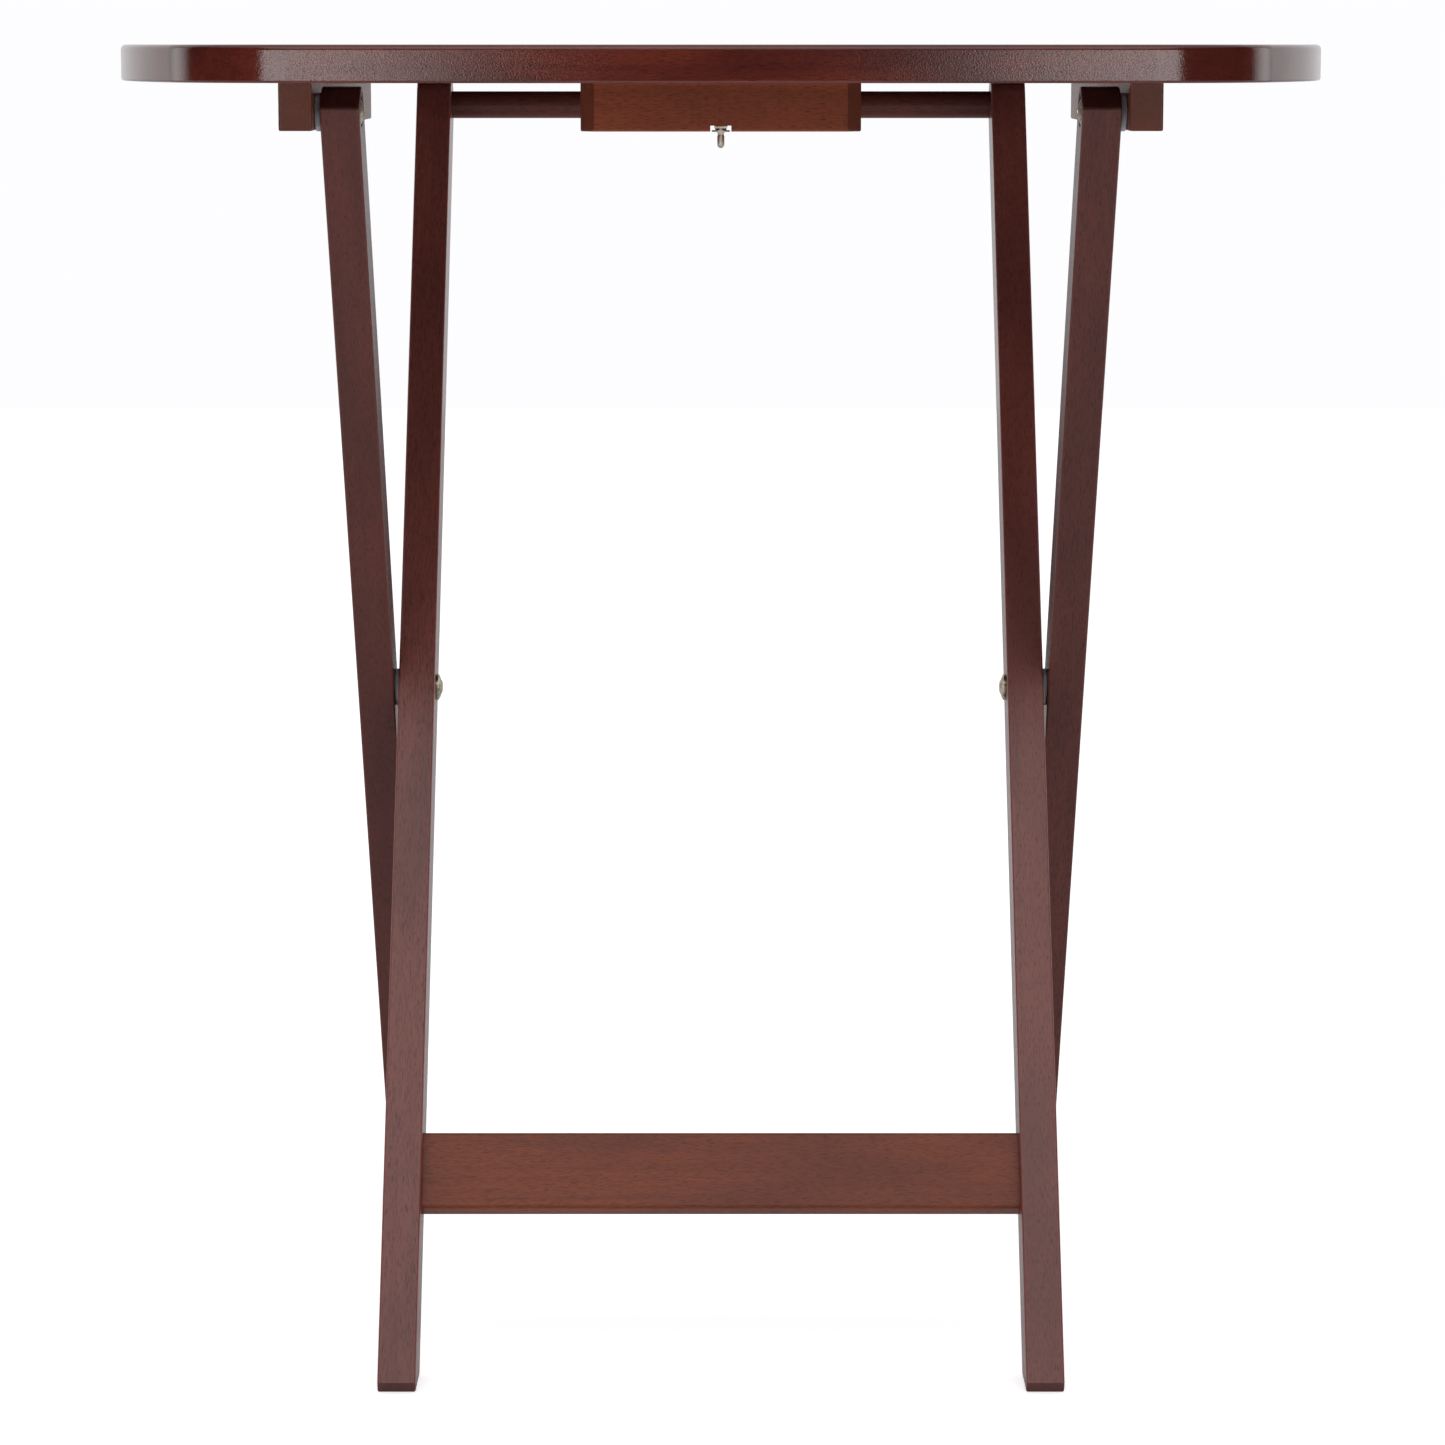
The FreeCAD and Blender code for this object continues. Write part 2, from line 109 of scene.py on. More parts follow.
def ramp(tree, value, low, high, start=0.0, end=1.0):
    """Smooth step of a value from low to high, mapped to start..end."""
    node = add(tree, "ShaderNodeMapRange", interpolation_type="SMOOTHSTEP")
    for item, socket in zip((value, low, high, start, end), node.inputs):
        feed(tree, item, socket)
    return node.outputs[0]


def blend_colour(tree, share, first, second):
    """Mix of two colours."""
    node = add(tree, "ShaderNodeMix", data_type="RGBA")
    feed(tree, share, node.inputs[0])
    feed(tree, first, node.inputs[6])
    feed(tree, second, node.inputs[7])
    return node.outputs[2]


def noise(tree, place, scales, detail=2.0, roughness=0.5, distortion=0.0):
    """Noise whose features are stretched by a separate scale on each axis."""
    stretch = add(tree, "ShaderNodeVectorMath", operation="MULTIPLY")
    feed(tree, place, stretch.inputs[0])
    stretch.inputs[1].default_value = scales
    node = add(tree, "ShaderNodeTexNoise")
    feed(tree, stretch.outputs[0], node.inputs["Vector"])
    node.inputs["Scale"].default_value = 1.0
    node.inputs["Detail"].default_value = detail
    node.inputs["Roughness"].default_value = roughness
    node.inputs["Distortion"].default_value = distortion
    return node.outputs[0]


def add_bump(tree, height, depth, strength, socket):
    """Small hills and hollows for one Normal socket, depth metres high at full strength."""
    bump = add(tree, "ShaderNodeBump")
    bump.inputs["Strength"].default_value = strength
    bump.inputs["Distance"].default_value = depth
    feed(tree, height, bump.inputs["Height"])
    feed(tree, bump.outputs[0], socket)


def new_material(name):
    """An empty material with its shader and output already joined."""
    material = bpy.data.materials.new(name)
    material.use_nodes = True
    tree = material.node_tree
    return material, tree, tree.nodes["Principled BSDF"]


print("helpers ready for", bpy.app.version_string)

# %% [markdown]
# ## Grain, end grain and paler edges of wear and painted highlight
# Wood looks different along and across its grain, so each pattern needs to know which way the grain
# runs. A Mapping node turns Object coordinates until Z lies along it. The cut ends drank more stain
# and are darker: they are found as the faces whose normal points along the grain. The long edges are
# paler, partly from stain rubbed thin by sanding and hands, partly as a painted highlight where the
# rounded arris catches the light. They are found as the places near both sides of the piece.

# %% Grain helpers
# Width of the paler long edges, which are worn stain and a painted highlight together.
EDGE_WEAR_AND_HIGHLIGHT_WIDTH = 0.0016


def grain_place(tree, turn, centre):
    """Object coordinates, centred on a piece and turned until Z runs along its grain."""
    coordinates = add(tree, "ShaderNodeTexCoord")
    mapping = add(tree, "ShaderNodeMapping")
    tree.links.new(coordinates.outputs["Object"], mapping.inputs["Vector"])
    mapping.inputs["Rotation"].default_value = turn.to_euler()
    mapping.inputs["Location"].default_value = -(turn @ centre)
    return mapping.outputs[0]


def end_grain_mask(tree, turn, amount):
    """From 0 on the long faces to amount on the faces that are cut across the grain."""
    facing = add(tree, "ShaderNodeMapping", vector_type="VECTOR")
    feed(tree, add(tree, "ShaderNodeTexCoord").outputs["Normal"], facing.inputs["Vector"])
    facing.inputs["Rotation"].default_value = turn.to_euler()
    along = add(tree, "ShaderNodeSeparateXYZ")
    feed(tree, facing.outputs[0], along.inputs[0])
    return ramp(tree, sums(tree, "ABSOLUTE", along.outputs[2]), 0.25, 0.75, 0.0, amount)


def long_edge_mask(tree, place, half_size):
    """From 0 on the faces to 1 on the edges that run along the grain."""
    split = add(tree, "ShaderNodeSeparateXYZ")
    feed(tree, place, split.inputs[0])
    edge = 1.0
    for axis, half in enumerate(half_size):
        reach = sums(tree, "ABSOLUTE", split.outputs[axis])
        edge = sums(tree, "MULTIPLY", ramp(tree, reach, half - EDGE_WEAR_AND_HIGHLIGHT_WIDTH, half), edge)
    return edge


# The paler edges are worn stain and a painted highlight.
print("worn edges are", EDGE_WEAR_AND_HIGHLIGHT_WIDTH * 1000, "mm wide")

# %% [markdown]
# ## The stained hardwood
# The real wood is a pale, fine-pored hardwood with a red-brown stain under thin satin lacquer.
# Close up it shows short dark pores that run with the grain, soft streaks where the growth rings
# took more stain, and larger blotches. The board is glued up from staves, and each stave came from
# another plank, so the pattern jumps at every joint. An image would have to be wrapped around each
# piece; noise that is stretched along the grain needs no image and is as sharp from close up.

# %% Wood pattern
# Noise features per metre: across, across and along the grain.
BLOTCHES = (28.0, 28.0, 9.0)
RINGS = (260.0, 260.0, 5.0)
FLECKS = (1700.0, 1700.0, 170.0)
PORES = (2700.0, 2700.0, 290.0)
CROWDING = (90.0, 90.0, 30.0)
PEEL = (1300.0, 1300.0, 1300.0)
SEED_STEPS = (0.37, 0.61, 1.13)
STAVE_ACROSS = 0.83
STAVE_ALONG = 2.3


def wood_pattern(tree, place, seed, stave):
    """The place moved by the seed and the stave, and a number for each stave, or None without staves."""
    strip = None
    shift = add(tree, "ShaderNodeCombineXYZ")
    for socket, step in zip(shift.inputs, SEED_STEPS):
        socket.default_value = seed * step
    if stave:
        across = add(tree, "ShaderNodeSeparateXYZ")
        feed(tree, place, across.inputs[0])
        strip = sums(tree, "FLOOR", sums(tree, "MULTIPLY_ADD", across.outputs[1], 1.0 / stave, 0.5))
        feed(tree, sums(tree, "MULTIPLY_ADD", strip, STAVE_ACROSS, seed * SEED_STEPS[0]), shift.inputs[0])
        feed(tree, sums(tree, "MULTIPLY_ADD", strip, STAVE_ALONG, seed * SEED_STEPS[2]), shift.inputs[2])
    shifted = add(tree, "ShaderNodeVectorMath", operation="ADD")
    feed(tree, place, shifted.inputs[0])
    feed(tree, shift.outputs[0], shifted.inputs[1])
    return shifted.outputs[0], strip


def open_pores(tree, grain):
    """From 0 between the pores to 1 inside them. The pores are crowded in some places."""
    pores = noise(tree, grain, PORES, detail=0.0)
    crowding = noise(tree, grain, CROWDING, detail=1.0)
    opening = sums(tree, "MULTIPLY_ADD", crowding, -0.14, 0.69)
    return ramp(tree, pores, opening, sums(tree, "ADD", opening, 0.09))


print("pores are about", round(1000 / PORES[0], 2), "mm wide and", round(1000 / PORES[2], 1), "mm long")

# %% [markdown]
# ## The stain
# The stain is built up in layers, as it would be with a brush. The body colour comes first, then the
# streaks, each stave's own tone, the growth rings, the flecks and the pores. The end grain is darker
# and the long edges are paler, from worn stain and a painted highlight, so these go on last. Each
# layer is a mix of two colours by a mask.

# %% Stain
STAVE_TONE = 0.45
# How much paler the long edges are: worn stain and a painted highlight together.
EDGE_WEAR_AND_HIGHLIGHT_PALER = 1.9


def stain(tree, grain, strip, blotch, pore_mask, tone):
    """Colour of the stained wood on its long faces. tone is (body, streak, pore) colours."""
    body, streak, pore = tone
    rings = noise(tree, grain, RINGS, detail=3.0, distortion=0.6)
    fleck = noise(tree, grain, FLECKS, detail=1.0)
    colour = blend_colour(tree, ramp(tree, blotch, 0.36, 0.66), body, streak)
    if strip:
        dice = add(tree, "ShaderNodeTexWhiteNoise", noise_dimensions="1D")
        feed(tree, strip, dice.inputs["W"])
        colour = blend_colour(tree, sums(tree, "MULTIPLY", dice.outputs[0], STAVE_TONE), colour, streak)
    darker = ramp(tree, rings, 0.42, 0.70, 0.0, 0.5)
    colour = blend_colour(tree, darker, colour, streak)
    colour = blend_colour(tree, ramp(tree, fleck, 0.45, 0.75, 0.0, 0.35), colour, pore)
    return blend_colour(tree, sums(tree, "MULTIPLY", pore_mask, 0.5), colour, pore)


def edge_wear_and_highlight(tree, colour, edge, blotch, body):
    """Paler long edges: the stain rubbed thin and a painted highlight, more in some places than in others.
    """
    # Share of the paler colour: worn stain plus a painted highlight on the rounded edges.
    wear_and_sheen = sums(tree, "MULTIPLY", edge, ramp(tree, blotch, 0.3, 0.6, 0.1, 0.35))
    pale = tuple(min(1.0, EDGE_WEAR_AND_HIGHLIGHT_PALER * part) for part in body[:3]) + (1.0,)
    return blend_colour(tree, wear_and_sheen, colour, pale)


# The paler edges are worn stain and a painted highlight.
print("worn stain is", EDGE_WEAR_AND_HIGHLIGHT_PALER, "times as pale")

# %% [markdown]
# ## The lacquer
# Under the lacquer the wood is matt, a little rougher where a pore is open, and each pore is a small
# dent. The lacquer is a clear coat with a surface of its own: it dried with a faint orange peel, which
# gets its own bump. So a light is mirrored sharply by the coat while the wood below stays matt.

# %% Wood recipe
PORE_DEPTH = 0.00012
WOOD_BUMP = 0.35


def stained_wood(name, turn, centre, half_size, seed, tone, gloss, stave=0.0):
    """Stained and lacquered hardwood; stave is the width of the board's glued strips, if any."""
    material, tree, shader = new_material(name)
    place = grain_place(tree, turn, centre)
    grain, strip = wood_pattern(tree, place, seed, stave)
    blotch = noise(tree, grain, BLOTCHES, detail=3.0)
    pore_mask = open_pores(tree, grain)
    colour = stain(tree, grain, strip, blotch, pore_mask, tone)
    colour = blend_colour(tree, end_grain_mask(tree, turn, gloss["end_stain"]), colour, tone[2])
    # Long edges painted paler: worn stain and a painted highlight on the rounded arrises.
    colour = edge_wear_and_highlight(tree, colour, long_edge_mask(tree, place, half_size), blotch, tone[0])
    feed(tree, colour, shader.inputs["Base Color"])

    rough = sums(tree, "MULTIPLY_ADD", blotch, 0.16, gloss["roughness"] - 0.08)
    rough = sums(tree, "MULTIPLY_ADD", pore_mask, 0.2, rough)
    feed(tree, rough, shader.inputs["Roughness"])
    peel = noise(tree, grain, PEEL, detail=1.0)
    height = sums(tree, "MULTIPLY_ADD", pore_mask, -0.5, sums(tree, "MULTIPLY", peel, 0.35))
    add_bump(tree, height, PORE_DEPTH, WOOD_BUMP, shader.inputs["Normal"])
    add_bump(tree, peel, gloss["peel"], WOOD_BUMP, shader.inputs["Coat Normal"])
    shader.inputs["Specular IOR Level"].default_value = gloss["specular"]
    shader.inputs["Coat Weight"].default_value = gloss["coat"]
    shader.inputs["Coat Roughness"].default_value = gloss["coat_roughness"]
    return material


print("wood recipe ready")

# %% [markdown]
# ## Tones and gloss
# The stain is one colour, yet each piece took it differently: the rail is warmest, the inner legs a
# little browner, the outer legs and the dowel darker. The board is redder and shinier because it got
# more lacquer. A tone is three colours, for the body, the streaks and the pores. A gloss says how
# matt the wood is, how much clear coat lies on it and how smooth the coat is.

# %% Tones and gloss
WARM = ((0.245, 0.058, 0.026, 1.0), (0.175, 0.043, 0.022, 1.0), (0.050, 0.016, 0.011, 1.0))
LEG = ((0.215, 0.060, 0.046, 1.0), (0.155, 0.045, 0.036, 1.0), (0.044, 0.017, 0.014, 1.0))
DEEP = ((0.126, 0.033, 0.025, 1.0), (0.090, 0.025, 0.020, 1.0), (0.032, 0.012, 0.010, 1.0))
BOARD = ((0.140, 0.023, 0.013, 1.0), (0.070, 0.011, 0.008, 1.0), (0.030, 0.007, 0.005, 1.0))
HAZY = {"roughness": 0.42, "specular": 0.20, "coat": 0.45, "coat_roughness": 0.18, "peel": 0.00003,
        "end_stain": 0.45}
DULL = {"roughness": 0.48, "specular": 0.06, "coat": 0.45, "coat_roughness": 0.18, "peel": 0.00003,
        "end_stain": 0.45}
SATIN = {"roughness": 0.48, "specular": 0.02, "coat": 0.35, "coat_roughness": 0.18, "peel": 0.00003,
         "end_stain": 0.45}
SHINY = {"roughness": 0.50, "specular": 0.0, "coat": 1.0, "coat_roughness": 0.13, "peel": 0.00012,
         "end_stain": 0.15}
STAVE = 0.078
print("the board's staves are", STAVE * 1000, "mm wide")

# %% [markdown]
# ## Dressing the wooden pieces
# The wooden pieces keep the frame's shape, so they only need their finish. Each gets its own copy of
# the recipe with its own seed: pieces cut from different planks never share a pattern. The grain
# runs along the legs, which lean, front to back along the battens, and left to right in the rest.

# %% Dress the wooden pieces
OUTER_WIDTH = 0.027
INNER_WIDTH = 0.030
SIDE_SEED = 3.1
WIDTH_SEED = 90
BATTEN_SEED = 7.7
CROSSWISE_SEED = 13.0
ALONG_X = Matrix.Rotation(math.radians(-90), 3, "Y")
ALONG_Y = Matrix.Rotation(math.radians(90), 3, "X")
OUTER_LEAN = Matrix.Rotation(-lean, 3, "X")
INNER_LEAN = Matrix.Rotation(lean, 3, "X")
leg_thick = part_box("outer_leg_right")[1].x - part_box("outer_leg_right")[0].x


def dress(name, turn, centre, half_size, seed, tone, gloss, stave=0.0):
    """Give one wooden node its own copy of the finish, so no two pieces share a pattern."""
    material = stained_wood("wood_" + name, turn, centre, half_size, seed, tone, gloss, stave)
    nodes[name].material_slots[0].material = material


for index, side in enumerate(("left", "right")):
    for leg, turn, width, tone, gloss in (("outer_leg_", OUTER_LEAN, OUTER_WIDTH, DEEP, DULL),
                                          ("inner_leg_", INNER_LEAN, INNER_WIDTH, LEG, HAZY)):
        centre = Vector((middle(leg + side).x, cross_pivot.y, cross_pivot.z))
        seed = SIDE_SEED * index + width * WIDTH_SEED
        dress(leg + side, turn, centre, (leg_thick / 2, width / 2), seed, tone, gloss)
    low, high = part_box("batten_" + side)
    half = (high - low) / 2
    dress("batten_" + side, ALONG_Y, middle("batten_" + side), (half.x, half.z), BATTEN_SEED + index,
          WARM, SATIN)

for index, (name, tone, gloss) in enumerate((("lower_rail", WARM, SATIN), ("top_dowel", DEEP, SATIN),
                                             ("latch_block", WARM, SATIN), ("catch_block", WARM, SATIN),
                                             ("tabletop", BOARD, SHINY))):
    low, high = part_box(name)
    half = (high - low) / 2
    stave = STAVE if name == "tabletop" else 0.0
    dress(name, ALONG_X, middle(name), (half.z, half.y), CROSSWISE_SEED + index, tone, gloss, stave)
print("wooden pieces dressed:", sum(name.startswith("wood_") for name in bpy.data.materials.keys()))

# %% [markdown]
# ## Metal and nylon
# The pivots are antique brass with a nickel wash: warm grey, with patches of tarnish and fine scratches
# from the driver. The screws are zinc plated, the latch is nickel. All three are one recipe in
# different colours: a metallic shader whose colour and roughness wander a little.
# The spacers are grey nylon, which is not metal at all: it has a faint moulded grain and soft gloss.

# %% Metal and nylon recipes
TARNISH = (340.0, 340.0, 340.0)
SCRATCHES = (900.0, 5200.0, 900.0)
SCRATCH_DEPTH = 0.00004
SCRATCH_BUMP = 0.2
SCUFFS = (160.0, 160.0, 160.0)
PEBBLES = (2600.0, 2600.0, 2600.0)
PEBBLE_DEPTH = 0.00005
PEBBLE_BUMP = 0.3
NYLON_GREYS = ((0.360, 0.365, 0.385, 1.0), (0.430, 0.435, 0.455, 1.0))


def worn_metal(name, bright, dull, roughness, seed):
    """Plated metal with tarnish in broad patches and fine scratches."""
    material, tree, shader = new_material(name)
    place = grain_place(tree, Matrix.Identity(3), Vector((seed, 0.0, 0.0)))
    patches = noise(tree, place, TARNISH, detail=4.0, roughness=0.6)
    scratches = noise(tree, place, SCRATCHES, detail=2.0)
    colour = blend_colour(tree, ramp(tree, patches, 0.38, 0.66), bright, dull)
    colour = blend_colour(tree, ramp(tree, scratches, 0.55, 0.8, 0.0, 0.4), colour, dull)
    feed(tree, colour, shader.inputs["Base Color"])
    rough = sums(tree, "MULTIPLY_ADD", patches, 0.22, roughness - 0.11)
    feed(tree, rough, shader.inputs["Roughness"])
    add_bump(tree, scratches, SCRATCH_DEPTH, SCRATCH_BUMP, shader.inputs["Normal"])
    shader.inputs["Metallic"].default_value = 1.0
    return material


def moulded_nylon(name):
    """Grey nylon with a fine moulded grain and a scuffed bloom."""
    material, tree, shader = new_material(name)
    place = grain_place(tree, Matrix.Identity(3), Vector((0.0, 0.0, 0.0)))
    scuffs = noise(tree, place, SCUFFS, detail=3.0)
    pebbles = noise(tree, place, PEBBLES, detail=1.0)
    colour = blend_colour(tree, ramp(tree, scuffs, 0.35, 0.7), *NYLON_GREYS)
    feed(tree, colour, shader.inputs["Base Color"])
    feed(tree, sums(tree, "MULTIPLY_ADD", scuffs, 0.25, 0.36), shader.inputs["Roughness"])
    add_bump(tree, pebbles, PEBBLE_DEPTH, PEBBLE_BUMP, shader.inputs["Normal"])
    return material


brass = worn_metal("antique_brass", bright=(0.50, 0.44, 0.33, 1.0), dull=(0.18, 0.15, 0.11, 1.0),
                   roughness=0.29, seed=0.1)
zinc = worn_metal("zinc_plate", bright=(0.60, 0.60, 0.58, 1.0), dull=(0.32, 0.31, 0.29, 1.0),
                  roughness=0.34, seed=0.2)
nickel = worn_metal("nickel_plate", bright=(0.58, 0.50, 0.42, 1.0), dull=(0.40, 0.34, 0.28, 1.0),
                    roughness=0.42, seed=0.3)
nylon = moulded_nylon("grey_nylon")
print("hardware finishes:", [item.name for item in (brass, zinc, nickel, nylon)])

# %% [markdown]
# ## How a turned piece is made
# Bolts, nuts and pins are all round, so a lathe would make them. Blender's Spin tool can do that, but
# a round shape can also be pushed out of a disc: extrude the disc's face, resize it, extrude again.
# Each step is a distance along the axis and a radius, which is how a drawing of a bolt reads.
# Going back along the axis makes a bore. A bevel on the sharp rims and smooth shading finish it.

# %% Turning helpers
SLIVER = 0.000003
RIM_ANGLE = 35.0
RIM_SEGMENTS = 2
TURNED_SIDES = 48


def deselect_all():
    """Operators act on everything selected, so each step starts with nothing selected."""
    if bpy.context.object and bpy.context.object.mode != "OBJECT":
        bpy.ops.object.mode_set(mode="OBJECT")
    bpy.ops.object.select_all(action="DESELECT")


def turned(name, start, axis, profile, sides=TURNED_SIDES):
    """A round piece, pushed out of a disc in (distance, radius) steps along an axis."""
    deselect_all()
    turn = axis.to_track_quat("Z", "Y").to_euler()
    bpy.ops.mesh.primitive_circle_add(vertices=sides, radius=profile[0][1], fill_type="NGON",
                                      location=start, rotation=turn)
    piece = bpy.context.object
    piece.name = name
    bpy.ops.object.transform_apply(location=True, rotation=True, scale=True)
    bpy.ops.object.mode_set(mode="EDIT")
    bpy.ops.mesh.select_all(action="SELECT")
    for (before, old), (distance, radius) in zip(profile, profile[1:]):
        step = axis * (distance - before)
        bpy.ops.mesh.extrude_region_move(TRANSFORM_OT_translate={"value": step})
        bpy.ops.transform.resize(value=(radius / old,) * 3, center_override=start + axis * distance)
    bpy.ops.mesh.select_all(action="SELECT")
    bpy.ops.mesh.normals_make_consistent(inside=False)
    bpy.ops.object.mode_set(mode="OBJECT")
    return piece


def apply_modifier(piece, kind, **settings):
    """Add one modifier, set it and apply it."""
    deselect_all()
    bpy.context.view_layer.objects.active = piece
    piece.select_set(True)
    modifier = piece.modifiers.new(kind.lower(), kind)
    for key, value in settings.items():
        setattr(modifier, key, value)
    bpy.ops.object.modifier_apply(modifier=modifier.name)


def cut_away(piece, tool):
    """Take the tool's shape out of a piece, then throw the tool away."""
    apply_modifier(piece, "BOOLEAN", operation="DIFFERENCE", solver="EXACT", object=tool)
    bpy.data.objects.remove(tool, do_unlink=True)


def soften(piece, width, angle=RIM_ANGLE):
    """Ease the sharp rims, drop the slivers this leaves, and shade the rest smooth."""
    apply_modifier(piece, "BEVEL", width=width, segments=RIM_SEGMENTS, limit_method="ANGLE",
                   angle_limit=math.radians(angle), use_clamp_overlap=True)
    bpy.ops.object.mode_set(mode="EDIT")
    bpy.ops.mesh.select_all(action="SELECT")
    bpy.ops.mesh.remove_doubles(threshold=SLIVER)
    bpy.ops.mesh.dissolve_degenerate(threshold=SLIVER)
    bpy.ops.object.mode_set(mode="OBJECT")
    bpy.ops.object.shade_smooth_by_angle(angle=math.radians(angle))


def hand_over(piece, body, finish, slot, *replaced):
    """Give a finished piece its material and its body, and hide the frame nodes it stands for."""
    piece.data.materials.clear()
    piece.data.materials.append(finish)
    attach(piece, body)
    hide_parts(*replaced)
    print(piece.name, "on", body, "with", len(piece.data.polygons), "faces")


def mirror_copy(piece, name):
    """The left-hand twin of a right-hand piece, with its own mesh."""
    twin = bpy.data.objects.new(name, piece.data.copy())
    bpy.context.scene.collection.objects.link(twin)
    twin.data.transform(Matrix.Scale(-1.0, 4, (1.0, 0.0, 0.0)))
    twin.data.flip_normals()
    return twin


print("slivers under", SLIVER * 1e6, "microns are dropped")

# %% [markdown]
# ## Pivot bolts
# Each pivot is a domed furniture bolt that screws into a barrel nut from the other side. The head has
# a thin straight rim, a low dome and a hexagon socket. The dome is part of a sphere, so its radii come
# from the circle formula. The socket is cut with a six-sided prism: a Boolean is the short way there.
# The head's underside bears on the wood and the shank runs on inside it, with a chamfer on its end.

# %% Domed bolts
OUT = Vector((1.0, 0.0, 0.0))
UP = Vector((0.0, 0.0, 1.0))
BOLT_RADIUS = 0.0030
HEAD_RISE = 0.0034
HEAD_RIM = 0.0014
DOME_FLAT = 0.40
DOME_STEPS = (0.55, 0.72, 0.86, 0.95)
SHANK_CHAMFER = 0.0008
SHANK_TIP = 0.7
KEY_WIDTH = 0.0040
KEY_DEPTH = 0.0019
BOLT_EASE = 0.00018


def line_of(node):
    """Inner end, length and half height of a piece that lies along X on the right-hand side."""
    low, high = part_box(node)
    start = Vector((low.x, (low.y + high.y) / 2, (low.z + high.z) / 2))
    return start, high.x - low.x, (high.z - low.z) / 2


def key_socket(piece, mouth, axis):
    """A hexagon socket sunk into a piece along an axis."""
    deselect_all()
    bpy.ops.mesh.primitive_cylinder_add(vertices=6, radius=KEY_WIDTH / math.sqrt(3), depth=2 * KEY_DEPTH,
                                        location=mouth, rotation=axis.to_track_quat("Z", "Y").to_euler())
    cut_away(piece, bpy.context.object)


def domed_bolt(name, node):
    """Rim, dome, socket and shank of a bolt whose dome points at the table's middle."""
    start, length, radius = line_of(node)
    rise = HEAD_RISE - HEAD_RIM
    sphere = (rise ** 2 + radius ** 2) / (2 * rise)
    profile = [(0.0, DOME_FLAT * radius)]
    for share in DOME_STEPS:
        wide = share * radius
        profile.append((sphere - math.sqrt(sphere ** 2 - wide ** 2), wide))
    profile += [(rise, radius), (HEAD_RISE, radius), (HEAD_RISE, BOLT_RADIUS)]
    profile += [(length - SHANK_CHAMFER, BOLT_RADIUS), (length, SHANK_TIP * BOLT_RADIUS)]
    bolt = turned(name, start, OUT, profile)
    key_socket(bolt, start, OUT)
    soften(bolt, BOLT_EASE)
    return bolt


for kind, body in (("cross_bolt", "inner_frame"), ("top_bolt", "outer_frame")):
    right = domed_bolt(kind + "_domed_right", kind + "_right")
    left = mirror_copy(right, kind + "_domed_left")
    hand_over(right, body, brass, "pivot_brass", kind + "_right")
    hand_over(left, body, brass, "pivot_brass", kind + "_left")

# %% [markdown]
# ## Barrel nuts
# The other end of each pivot is a barrel with a thin flange let in flush with the wood, and the same
# hexagon socket. It is turned from the outer face inwards. The last two steps run back out along the
# axis at the bolt's radius, which bores the barrel where the bolt screws in.

# %% Barrel nuts
BARREL_RADIUS = 0.0040
FLANGE_THICK = 0.0020
FLANGE_RIM = ((0.0, 0.93), (0.0003, 0.985), (0.0007, 1.0))
BORE_FLOOR = 0.0012
NUT_EASE = 0.00015


def barrel_nut(name, node):
    """Flange, barrel and bore of a nut that faces outwards."""
    start, length, radius = line_of(node)
    face = start + OUT * length
    profile = [(distance, share * radius) for distance, share in FLANGE_RIM]
    profile += [(FLANGE_THICK, radius), (FLANGE_THICK, BARREL_RADIUS), (length, BARREL_RADIUS),
                (length, BOLT_RADIUS), (KEY_DEPTH + BORE_FLOOR, BOLT_RADIUS)]
    nut = turned(name, face, -OUT, profile)
    key_socket(nut, face, -OUT)
    soften(nut, NUT_EASE)
    return nut


for kind, body in (("cross_nut", "inner_frame"), ("top_nut", "outer_frame")):
    right = barrel_nut(kind + "_barrel_right", kind + "_right")
    left = mirror_copy(right, kind + "_barrel_left")
    hand_over(right, body, brass, "pivot_brass", kind + "_right")
    hand_over(left, body, brass, "pivot_brass", kind + "_left")

# %% [markdown]
# ## Nylon spacers and the latch washer
# A spacer keeps the two pieces of wood apart so that their lacquer does not rub. It is a tube with
# rounded rims: an open cylinder of the outer size, a Solidify modifier for its wall, then a bevel.
# The small washer on the latch pin is made the same way further down, only thinner.

# %% Spacer rings
SPACER_EASE = 0.0005
RING_SIDES = 64


def ring(name, low, high, axis, hole, rounding):
    """A washer or spacer that fills a box and has a round hole."""
    deselect_all()
    size = high - low
    length = abs(size.dot(axis))
    outer = max(size) / 2
    bpy.ops.mesh.primitive_cylinder_add(vertices=RING_SIDES, radius=outer, depth=length,
                                        end_fill_type="NOTHING", location=(low + high) / 2,
                                        rotation=axis.to_track_quat("Z", "Y").to_euler())
    piece = bpy.context.object
    piece.name = name
    bpy.ops.object.transform_apply(location=True, rotation=True, scale=True)
    apply_modifier(piece, "SOLIDIFY", thickness=outer - hole, offset=-1.0, use_even_offset=True)
    soften(piece, rounding)
    return piece


for kind, body in (("cross_spacer", "inner_frame"), ("top_spacer", "outer_frame")):
    right = ring(kind + "_ring_right", *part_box(kind + "_right"), OUT, BOLT_RADIUS, SPACER_EASE)
    left = mirror_copy(right, kind + "_ring_left")
    hand_over(right, body, nylon, "spacer_plastic", kind + "_right")
    hand_over(left, body, nylon, "spacer_plastic", kind + "_left")

# %% [markdown]
# ## Driver recess
# The screws are driven with a cross-shaped bit, which sits in a tapered cross in the head. The cross
# starts as a small cube, four of its faces are pulled out into arms, and the deep end is made smaller.
# It becomes a cutter: its wide end stands just out of the head, so that the Boolean cuts cleanly.

# %% Driver recess
RECESS_ARM = 0.0026
RECESS_WIDTH = 0.0009
RECESS_DEPTH = 0.0015
RECESS_TAPER = 0.6
CUTTER_PROUD = 0.0002
TOUCHING = 1e-5
FACING = 0.9


